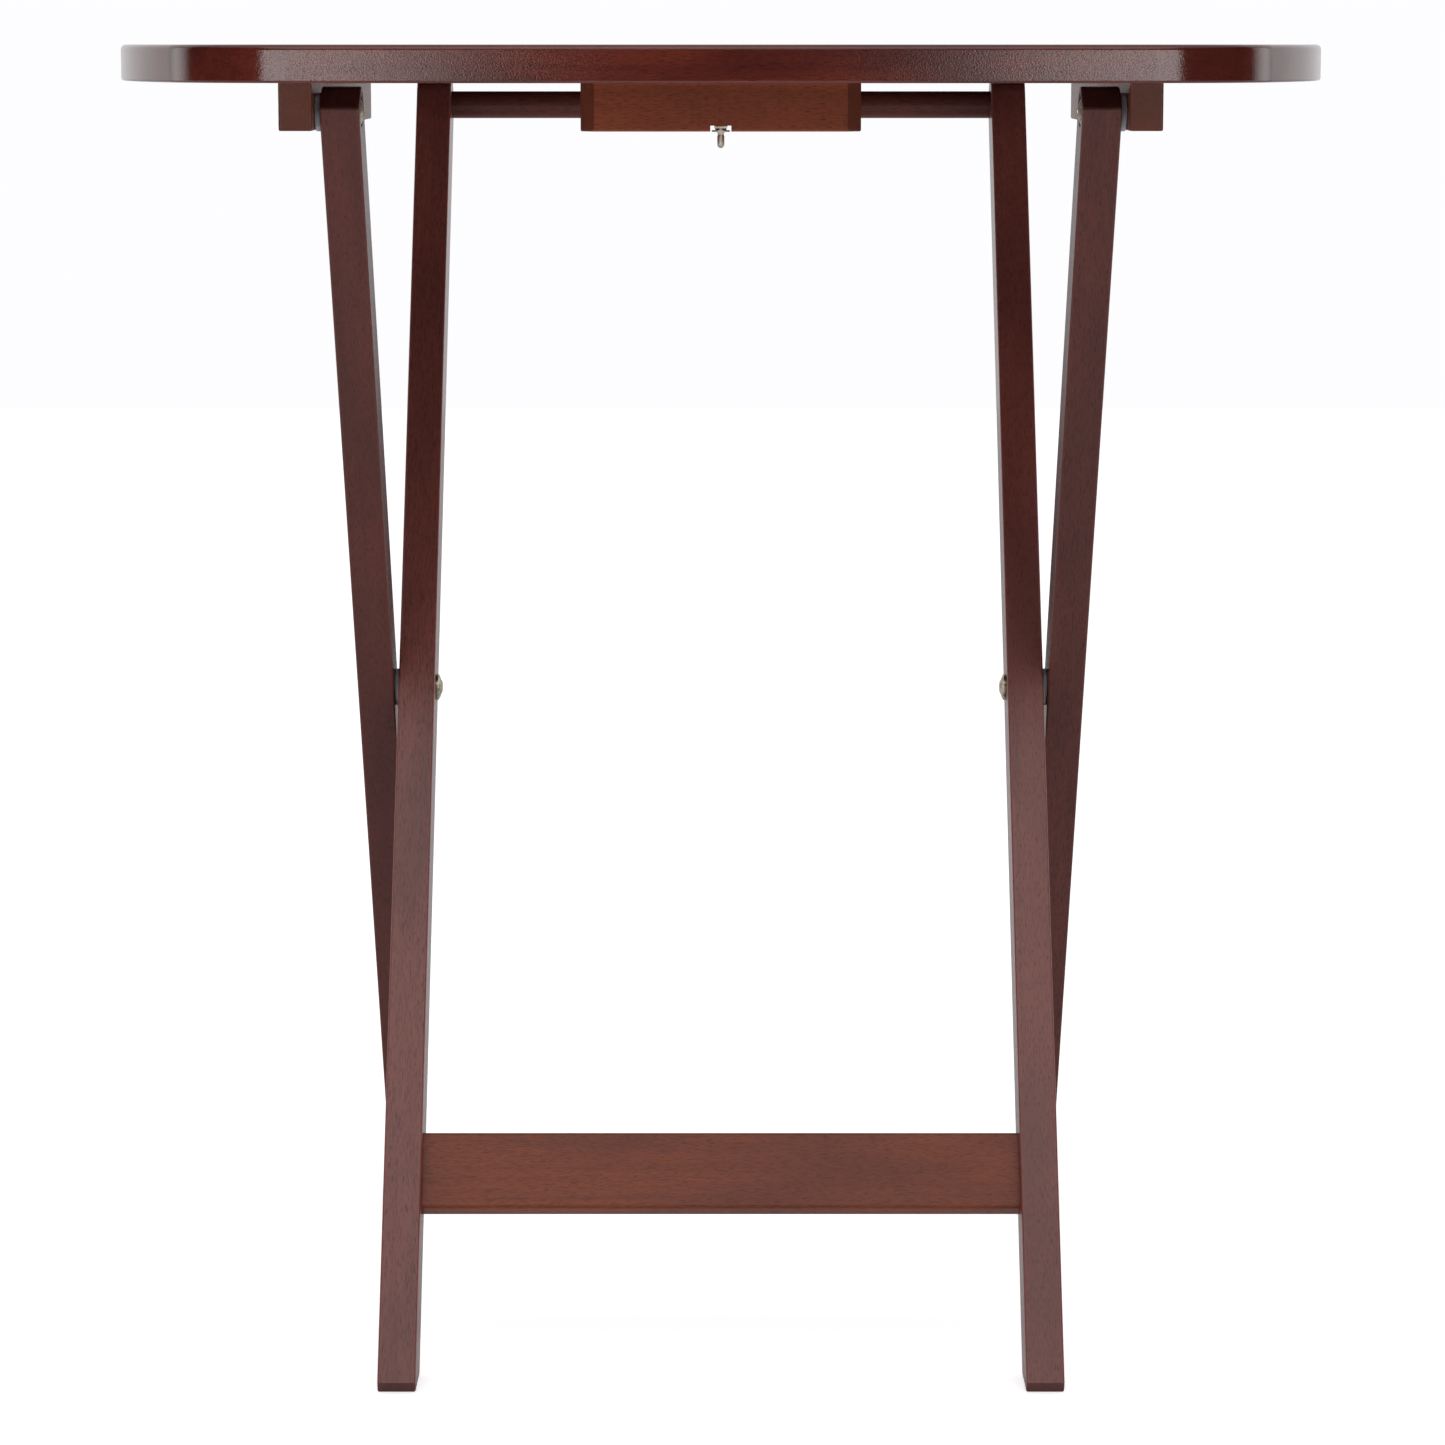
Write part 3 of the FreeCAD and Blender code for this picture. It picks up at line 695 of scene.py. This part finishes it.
def cross_tool(mouth, arm, width, depth):
    """A tapered cross to cut a driver recess with, its wide end just below the mouth."""
    deselect_all()
    bpy.ops.mesh.primitive_cube_add(size=1.0, location=mouth + UP * (depth / 2 - CUTTER_PROUD),
                                    scale=(width, width, depth + 2 * CUTTER_PROUD))
    tool = bpy.context.object
    bpy.ops.object.transform_apply(location=True, rotation=True, scale=True)
    bpy.ops.object.mode_set(mode="EDIT")
    for direction in (Vector((1, 0, 0)), Vector((-1, 0, 0)), Vector((0, 1, 0)), Vector((0, -1, 0))):
        bpy.ops.mesh.select_all(action="DESELECT")
        bpy.ops.object.mode_set(mode="OBJECT")
        for face in tool.data.polygons:
            reach = (face.center - mouth).dot(direction)
            face.select = face.normal.dot(direction) > FACING and abs(reach - width / 2) < TOUCHING
        bpy.ops.object.mode_set(mode="EDIT")
        bpy.ops.mesh.select_mode(type="FACE")
        step = direction * (arm - width / 2)
        bpy.ops.mesh.extrude_region_move(TRANSFORM_OT_translate={"value": step})
    bpy.ops.mesh.select_mode(type="VERT")
    bpy.ops.mesh.select_all(action="DESELECT")
    bpy.ops.object.mode_set(mode="OBJECT")
    deep = max(corner.co.z for corner in tool.data.vertices)
    for corner in tool.data.vertices:
        corner.select = corner.co.z > deep - TOUCHING
    bpy.ops.object.mode_set(mode="EDIT")
    bpy.ops.transform.resize(value=(RECESS_TAPER, RECESS_TAPER, 1.0),
                             center_override=Vector((mouth.x, mouth.y, deep)))
    bpy.ops.mesh.select_all(action="SELECT")
    bpy.ops.mesh.normals_make_consistent(inside=False)
    bpy.ops.object.mode_set(mode="OBJECT")
    return tool


print("driver recess is", 2 * RECESS_ARM * 1000, "mm across")

# %% [markdown]
# ## Where the screws are
# Each of the three screw nodes in the frame holds several screws in one mesh of loose triangles.
# Vertices at the same place are taken as one, and vertices that share an edge belong to one screw.
# Every screw found like this gives its own box, and the box gives the screw's place and size.

# %% Screw places
SCREW_NODES = ("batten_screws", "latch_block_screws", "catch_block_screws")


def separate_boxes(node):
    """Box of each separate solid in a node, found from which vertices are joined."""
    mesh = nodes[node].data
    parent = list(range(len(mesh.vertices)))
    seen = {}
    for index, corner in enumerate(mesh.vertices):
        parent[index] = seen.setdefault(tuple(round(value, 6) for value in corner.co), index)

    def root(index):
        while parent[index] != index:
            index = parent[index]
        return index

    for edge in mesh.edges:
        first, second = root(edge.vertices[0]), root(edge.vertices[1])
        parent[first] = second
    groups = {}
    for index, corner in enumerate(mesh.vertices):
        groups.setdefault(root(index), []).append(corner.co)
    boxes = []
    for points in groups.values():
        low = Vector([min(point[axis] for point in points) for axis in range(3)])
        high = Vector([max(point[axis] for point in points) for axis in range(3)])
        boxes.append((low, high))
    return sorted(boxes, key=lambda pair: (round(pair[0].x, 4), round(pair[0].y, 4)))


def head_centre(box):
    """Middle of the head, which is the lowest part of a screw that is driven upwards."""
    low, high = box
    return Vector(((low.x + high.x) / 2, (low.y + high.y) / 2, low.z))


screw_boxes = {node: separate_boxes(node) for node in SCREW_NODES}
print("screws found:", {node: len(found) for node, found in screw_boxes.items()})

# %% [markdown]
# ## Wood screws
# Ten identical screws hold the battens and blocks to the board. Only their heads show, from below,
# but a whole screw is easier to check than half of one: a flat head, a cone, a shank and a point.
# One screw is turned, and the others are copies of it. A thread would never be seen inside the wood,
# so the shank stays plain.

# %% Wood screws
SCREW_RADIUS = 0.0020
CONE_DEPTH = 0.0024
POINT_LENGTH = 0.0040
POINT_RADIUS = 0.0003
HEAD_EDGE = (0.0002, 0.95)
SCREW_SIDES = 32
SCREW_EASE = 0.0001

first_box = screw_boxes["batten_screws"][0]
head_radius = (first_box[1].x - first_box[0].x) / 2
screw_start = head_centre(first_box)
screw_length = first_box[1].z - first_box[0].z
screw_profile = [(0.0, HEAD_EDGE[1] * head_radius), (HEAD_EDGE[0], head_radius), (CONE_DEPTH, SCREW_RADIUS),
                 (screw_length - POINT_LENGTH, SCREW_RADIUS), (screw_length, POINT_RADIUS)]
pattern = turned("screw_pattern", screw_start, UP, screw_profile, sides=SCREW_SIDES)
cut_away(pattern, cross_tool(screw_start, RECESS_ARM, RECESS_WIDTH, RECESS_DEPTH))
soften(pattern, SCREW_EASE)

for node in SCREW_NODES:
    deselect_all()
    for box in screw_boxes[node]:
        copy = bpy.data.objects.new(node + "_driven", pattern.data.copy())
        copy.data.transform(Matrix.Translation(head_centre(box) - screw_start))
        bpy.context.scene.collection.objects.link(copy)
        copy.select_set(True)
        bpy.context.view_layer.objects.active = copy
    bpy.ops.object.join()
    joined = bpy.context.object
    joined.name = node + "_driven"
    hand_over(joined, "table_top", zinc, "screw_steel", node)
bpy.data.objects.remove(pattern, do_unlink=True)

# %% [markdown]
# ## The slide latch
# A flat nickel strip slides in a channel under the front block. Its rounded nose reaches under the
# waist of the dowel once the legs are closed. A pin hangs from its front end to pull it by, and a
# guide screw in a slot keeps it straight. The strip is a bar whose upright corners are bevelled until
# they meet in a half circle, and the slot is cut with a second, smaller bar of the same kind.

# %% Latch strip
SLOT_RADIUS = 0.0016
SLOT_TRAVEL = 0.0120
SLOT_MARGIN = 0.001
NEARLY_HALF = 0.4999
ROUND_STEPS = 8
MERGE_WITHIN = 0.00001
STRIP_EASE = 0.0002


def rounded_bar(name, low, high, round_front, round_back):
    """A bar that fills a box, with its front or back end rounded to a half circle."""
    deselect_all()
    bpy.ops.mesh.primitive_cube_add(size=1.0, location=(low + high) / 2, scale=high - low)
    piece = bpy.context.object
    piece.name = name
    bpy.ops.object.transform_apply(location=True, rotation=True, scale=True)
    bpy.ops.object.mode_set(mode="EDIT")
    bpy.ops.mesh.select_mode(type="EDGE")
    bpy.ops.mesh.select_all(action="DESELECT")
    bpy.ops.object.mode_set(mode="OBJECT")
    corners = piece.data.vertices
    for edge in piece.data.edges:
        first, second = (corners[index].co for index in edge.vertices)
        upright = abs(first.z - second.z) > 0.5 * (high.z - low.z)
        at_back = abs(first.y - high.y) < TOUCHING
        edge.select = upright and (round_back if at_back else round_front)
    bpy.ops.object.mode_set(mode="EDIT")
    bpy.ops.mesh.bevel(offset=NEARLY_HALF * (high.x - low.x), segments=ROUND_STEPS, affect="EDGES")
    bpy.ops.mesh.select_all(action="SELECT")
    bpy.ops.mesh.remove_doubles(threshold=MERGE_WITHIN)
    bpy.ops.mesh.normals_make_consistent(inside=False)
    bpy.ops.object.mode_set(mode="OBJECT")
    return piece


slide_low, slide_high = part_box("latch_slide")
guide = middle("latch_guide_screw")
strip = rounded_bar("latch_strip", slide_low, slide_high, False, True)
margin = UP * SLOT_MARGIN
slot_low = Vector((-SLOT_RADIUS, guide.y - SLOT_RADIUS, slide_low.z)) - margin
slot_high = Vector((SLOT_RADIUS, guide.y + SLOT_TRAVEL + SLOT_RADIUS, slide_high.z)) + margin
cut_away(strip, rounded_bar("slot_tool", slot_low, slot_high, True, True))
soften(strip, STRIP_EASE)
hand_over(strip, "latch", nickel, "latch_steel", "latch_slide")

# %% [markdown]
# ## Pull pin and washer
# The pin is turned with a thin stem that is riveted into the strip, a fatter body with a groove round
# it, and a domed tip. The tip is a quarter circle, taken in equal turns. The washer sits on the pin
# just below the strip, so its hole is as wide as the pin.

# %% Pull pin and washer
STEM_RADIUS = 0.0012
GROOVE_STEPS = ((0.0022, 1.0), (0.0026, 0.86), (0.0032, 0.86), (0.0036, 1.0))
TIP_STEPS = 6
TIP_TURN = 15.0
PIN_EASE = 0.0001
PIN_EASE_ANGLE = 50.0
WASHER_EASE = 0.00015

low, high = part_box("latch_pin")
pin_radius = (high.x - low.x) / 2
pin_length = high.z - low.z
strip_thick = slide_high.z - slide_low.z
pin_profile = [(0.0, STEM_RADIUS), (strip_thick, STEM_RADIUS), (strip_thick, pin_radius)]
pin_profile += [(strip_thick + distance, share * pin_radius) for distance, share in GROOVE_STEPS]
pin_profile.append((pin_length - pin_radius, pin_radius))
for step in range(1, TIP_STEPS):
    turn = math.radians(TIP_TURN * step)
    pin_profile.append((pin_length - pin_radius * (1 - math.sin(turn)), pin_radius * math.cos(turn)))
pin_start = Vector((middle("latch_pin").x, middle("latch_pin").y, high.z))
pin = turned("latch_pull_pin", pin_start, -UP, pin_profile)
soften(pin, PIN_EASE, PIN_EASE_ANGLE)
hand_over(pin, "latch", nickel, "latch_steel", "latch_pin")

washer = ring("latch_pin_washer", *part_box("latch_washer"), UP, pin_radius, WASHER_EASE)
hand_over(washer, "latch", nickel, "latch_steel", "latch_washer")

# %% [markdown]
# ## Guide screw
# This screw holds the strip in its channel and keeps it straight. The slot in the strip runs on its
# plain shoulder, which is fatter than the shank that bites into the block. The head is thin, since
# it stands under the strip, and has a single slot. The slot is cut with a flat bar.

# %% Guide screw
HEAD_THICK = 0.0012
GUIDE_HEAD = ((0.0, 0.86), (0.0003, 1.0), (HEAD_THICK, 1.0))
SHOULDER_RADIUS = 0.0013
SHOULDER_END = 0.0028
SHANK_RADIUS = 0.0010
GUIDE_POINT = 0.0015
DRIVER_SLOT = (0.0062, 0.0008, 0.0012)

low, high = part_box("latch_guide_screw")
guide_radius = (high.x - low.x) / 2
guide_length = high.z - low.z
guide_start = Vector((guide.x, guide.y, low.z))
guide_profile = [(distance, share * guide_radius) for distance, share in GUIDE_HEAD]
guide_profile += [(HEAD_THICK, SHOULDER_RADIUS), (SHOULDER_END, SHOULDER_RADIUS),
                  (SHOULDER_END, SHANK_RADIUS), (guide_length - GUIDE_POINT, SHANK_RADIUS),
                  (guide_length, POINT_RADIUS)]
guide_screw = turned("latch_guide_screw_turned", guide_start, UP, guide_profile, sides=SCREW_SIDES)
deselect_all()
bpy.ops.mesh.primitive_cube_add(size=1.0, location=guide_start, scale=DRIVER_SLOT)
slot_tool = bpy.context.object
bpy.ops.object.transform_apply(location=True, rotation=True, scale=True)
cut_away(guide_screw, slot_tool)
soften(guide_screw, SCREW_EASE)
hand_over(guide_screw, "table_top", zinc, "screw_steel", "latch_guide_screw")

# %% [markdown]
# ## Rail pins
# Two plain dowel pins cross each joint of the rail and a leg. They are glued in and never seen, so
# the frame's own pins stay, and only get the look of unstained wood.

# %% Rail pins
PALE = ((0.52, 0.36, 0.20, 1.0), (0.44, 0.29, 0.15, 1.0), (0.30, 0.19, 0.10, 1.0))
PINS_SEED = 31.0
low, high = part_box("rail_dowel_pins")
dress("rail_dowel_pins", ALONG_X, middle("rail_dowel_pins"), (high.z - low.z, high.y - low.y), PINS_SEED,
      PALE, SATIN)
print("rail pins dressed in", nodes["rail_dowel_pins"].material_slots[0].material.name)

# %% [markdown]
# ## Camera
# The view is from straight in front, with the eye at the height of the board, tilted down to take in
# the feet. A long lens from over two metres away keeps the far legs nearly as large as the near ones.

# %% Camera
LENS = 114.6
SENSOR = 36.0
CAMERA_ASIDE = 0.0008
CAMERA_BACK = 2.419
CAMERA_DOWN = 8.385

scene = bpy.context.scene
table_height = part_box("tabletop")[1].z
camera_data = bpy.data.cameras.new("camera")
camera_data.lens = LENS
camera_data.sensor_width = SENSOR
camera = bpy.data.objects.new("camera", camera_data)
camera.location = (CAMERA_ASIDE, -CAMERA_BACK, table_height)
camera.rotation_euler = (math.radians(90.0 - CAMERA_DOWN), 0.0, 0.0)
scene.collection.objects.link(camera)
scene.camera = camera
scene.view_settings.view_transform = "Standard"
print("camera stands", CAMERA_BACK, "m in front of the table, at a height of", round(table_height, 3), "m")

# %% [markdown]
# ## Floor
# The table stands on a white sweep with no horizon. A plain white plane would look grey beside the
# white world, so it glows a little, but only where the camera sees it straight: it throws no extra
# light on the table. It lies a hair below the feet, so that no two faces share one plane.

# %% Floor
FLOOR_SIZE = 12.0
FLOOR_GAP = 0.0003
FLOOR_WHITE = (0.93, 0.93, 0.94, 1.0)
FLOOR_GLOW = 0.55

deselect_all()
bpy.ops.mesh.primitive_plane_add(size=FLOOR_SIZE, location=(0, 0, -FLOOR_GAP))
floor = bpy.context.object
floor.name = "floor"
floor_material, tree, shader = new_material("floor_white")
shader.inputs["Base Color"].default_value = FLOOR_WHITE
shader.inputs["Roughness"].default_value = 0.9
shader.inputs["Emission Color"].default_value = (1.0, 1.0, 1.0, 1.0)
camera_ray = add(tree, "ShaderNodeLightPath").outputs["Is Camera Ray"]
feed(tree, sums(tree, "MULTIPLY", camera_ray, FLOOR_GLOW), shader.inputs["Emission Strength"])
floor.data.materials.append(floor_material)
print("floor is", FLOOR_SIZE, "m wide")

# %% [markdown]
# ## The room
# Lacquer looks like lacquer because of what it mirrors, so the room matters as much as the lamps. The
# wall behind the table and the ceiling are white, and the legs' side faces, seen at a slant, mirror
# that wall. The rest of the room is dark, which keeps the front edge of the board deep red. A world
# shader can be painted by direction: one smooth step away from the wall, another up to the ceiling.

# %% Room
ROOM_WHITE = (0.985, 0.985, 1.0, 1.0)
ROOM_LEVEL = 0.90
DARK_DROP = 0.87
DARK_FROM, DARK_FULL = -0.42, -0.30
CEILING_FROM, CEILING_FULL = 0.50, 0.90

world = bpy.data.worlds.new("studio")
world.use_nodes = True
scene.world = world
tree = world.node_tree
sky = tree.nodes["Background"]
direction = add(tree, "ShaderNodeTexCoord").outputs["Generated"]
parts = add(tree, "ShaderNodeSeparateXYZ")
feed(tree, direction, parts.inputs[0])
toward_camera = sums(tree, "MULTIPLY", parts.outputs[1], -1.0)
dark_room = ramp(tree, toward_camera, DARK_FROM, DARK_FULL)
overhead = ramp(tree, parts.outputs[2], CEILING_FROM, CEILING_FULL)
room = sums(tree, "MULTIPLY", dark_room, sums(tree, "SUBTRACT", 1.0, overhead))
level = sums(tree, "MULTIPLY_ADD", room, -DARK_DROP, ROOM_LEVEL)
seen = add(tree, "ShaderNodeLightPath").outputs["Is Camera Ray"]
feed(tree, sums(tree, "MAXIMUM", level, seen), sky.inputs["Strength"])
sky.inputs["Color"].default_value = ROOM_WHITE
print("wall and ceiling are", ROOM_LEVEL, "bright, the rest", round(ROOM_LEVEL - DARK_DROP, 2))

# %% [markdown]
# ## Soft boxes
# Every lamp is a soft box, a wide area light with soft shadows. A key hangs high above the camera,
# and a fill hangs lower and further back. Low wide strips left and right of the camera are mirrored
# in the front edge of the board, with two dimmer, narrow ones between them. A box on each side, a
# little behind the table, brightens the round corners. The lamps are seen only as reflections.

# %% Soft boxes
STRIP_HEIGHT = 0.64
STRIP_BACK = 2.9
STRIP_AIM = 0.1


def soft_box(name, place, target, width, height, brightness):
    """A rectangular soft light aimed at a point, as bright all over as asked."""
    data = bpy.data.lights.new(name, "AREA")
    data.shape = "RECTANGLE"
    data.size = width
    data.size_y = height
    data.energy = brightness * math.pi * width * height
    lamp = bpy.data.objects.new(name, data)
    lamp.location = place
    aim = Vector(target) - Vector(place)
    lamp.rotation_euler = aim.to_track_quat("-Z", "Y").to_euler()
    lamp.visible_camera = False
    scene.collection.objects.link(lamp)


soft_box("key", (0.0, -2.1, 2.7), (0.0, 0.0, 0.35), width=3.0, height=1.6, brightness=1.30)
soft_box("fill", (0.0, -3.0, 1.9), (0.0, 0.0, 0.4), width=2.4, height=0.5, brightness=1.7)
for side in (-1, 1):
    strip_aim = (side * STRIP_AIM, 0.0, STRIP_HEIGHT)
    soft_box("strip_outer", (side * 1.17, -STRIP_BACK, STRIP_HEIGHT), strip_aim,
             width=1.14, height=0.34, brightness=5.5)
    soft_box("strip_inner", (side * 0.50, -STRIP_BACK, STRIP_HEIGHT), strip_aim,
             width=0.20, height=0.36, brightness=1.9)
    soft_box("rear_side", (side * 2.34, 0.81, 0.75), (side * 0.3, 0.0, 0.6),
             width=0.95, height=1.3, brightness=1.1)
print("soft boxes:", sorted(item.name for item in bpy.data.lights))
